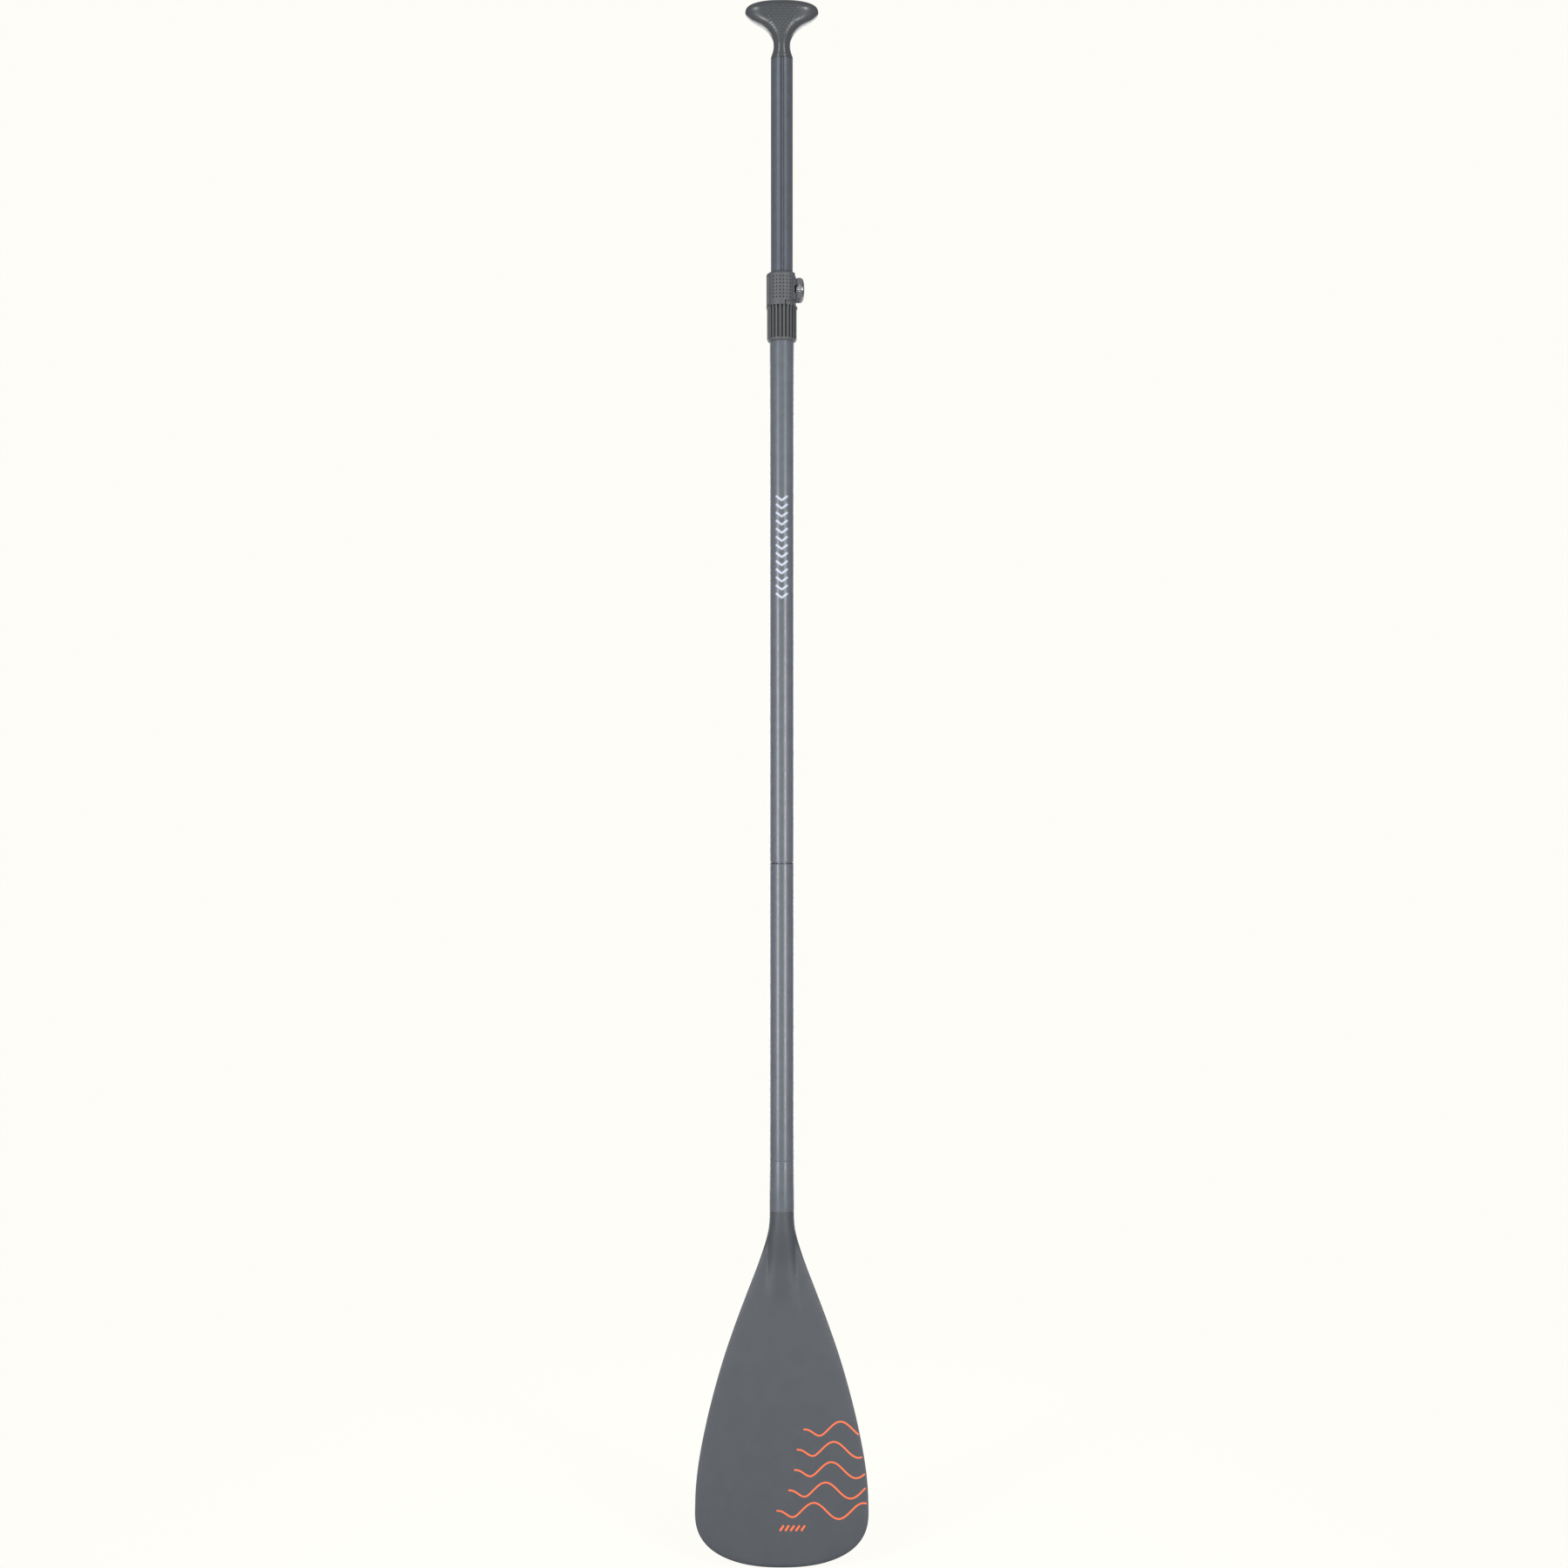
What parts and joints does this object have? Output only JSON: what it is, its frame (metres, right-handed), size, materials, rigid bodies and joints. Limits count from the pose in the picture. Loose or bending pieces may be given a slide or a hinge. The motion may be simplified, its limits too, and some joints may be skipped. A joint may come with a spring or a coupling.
{
  "type": "single blade paddle",
  "caption": "Slate grey stand-up paddle with a moulded blade, take-down alloy shaft, telescoping upper shaft in a cam lever clamp and a palm grip",
  "frame": {"origin": "on the shaft axis, in the middle of the lower shaft's free wall, where a rack's clip or a hand holds it", "axes": "+Z along the shaft, towards the palm grip; the blade's ribbed front face looks towards -Y and the blade leans towards -Y; the clamp's cam is on +X"},
  "size_m": [0.2028, 0.0731, 1.8437],
  "materials": {
    "shaft_coat": "satin slate grey coating on alloy tube, two soft vertical highlights",
    "upper_coat": "satin dark slate grey anodised alloy tube",
    "bare_alloy": "plain drawn alloy",
    "blade_nylon": "fine grained moulded nylon with glass fibre, matte slate grey",
    "grip_plastic": "semi-gloss moulded dark grey plastic with fine grip dots",
    "clamp_nylon": "fine textured moulded dark grey nylon",
    "lever_nylon": "fine textured moulded dark grey nylon with grip dimples",
    "liner_nylon": "smooth black nylon",
    "glide_plastic": "smooth off-white low-friction plastic",
    "steel": "bright stainless steel",
    "foam": "closed-cell foam",
    "seal_rubber": "black rubber"
  },
  "bodies": {
    "blade_section": {"blade": "blade_nylon", "lower_tube": "shaft_coat", "foam_plug": "foam", "ferrule": "bare_alloy", "ferrule_cap": "liner_nylon", "button_spring": "steel", "joint_washer": "seal_rubber"},
    "snap_button": {"snap_button": "steel"},
    "mid_section": {"mid_tube": "shaft_coat", "clamp_collar": "clamp_nylon", "clamp_liner": "liner_nylon", "cam_barrel": "steel", "tension_bolt": "steel", "tension_nut": "steel", "cam_pad": "steel"},
    "clamp_lever": {"clamp_lever": "lever_nylon"},
    "upper_section": {"upper_tube": "upper_coat", "end_plug": "liner_nylon", "glide_ring": "glide_plastic", "palm_grip": "grip_plastic", "grip_rivet": "steel"}
  },
  "joints": [
    {"name": "shaft_pull", "type": "slide", "parent": "blade_section", "child": "mid_section", "axis": [0, 0, 1], "range_m": [0, 0.3]},
    {"name": "length_adjust", "type": "slide", "parent": "mid_section", "child": "upper_section", "axis": [0, 0, 1], "range_m": [-0.19, 0.25]},
    {"name": "clamp_open", "type": "hinge", "parent": "mid_section", "child": "clamp_lever", "pos_m": [0.0216, -0.01359, 0.8564], "axis": [0, 0, 1], "range_deg": [0, 120]},
    {"name": "button_press", "type": "slide", "parent": "blade_section", "child": "snap_button", "axis": [0, -1, 0], "range_m": [0, 0.004], "stiffness_N_per_m": 2500, "springref_m": -0.002, "deforming": ["button_spring"]}
  ]
}
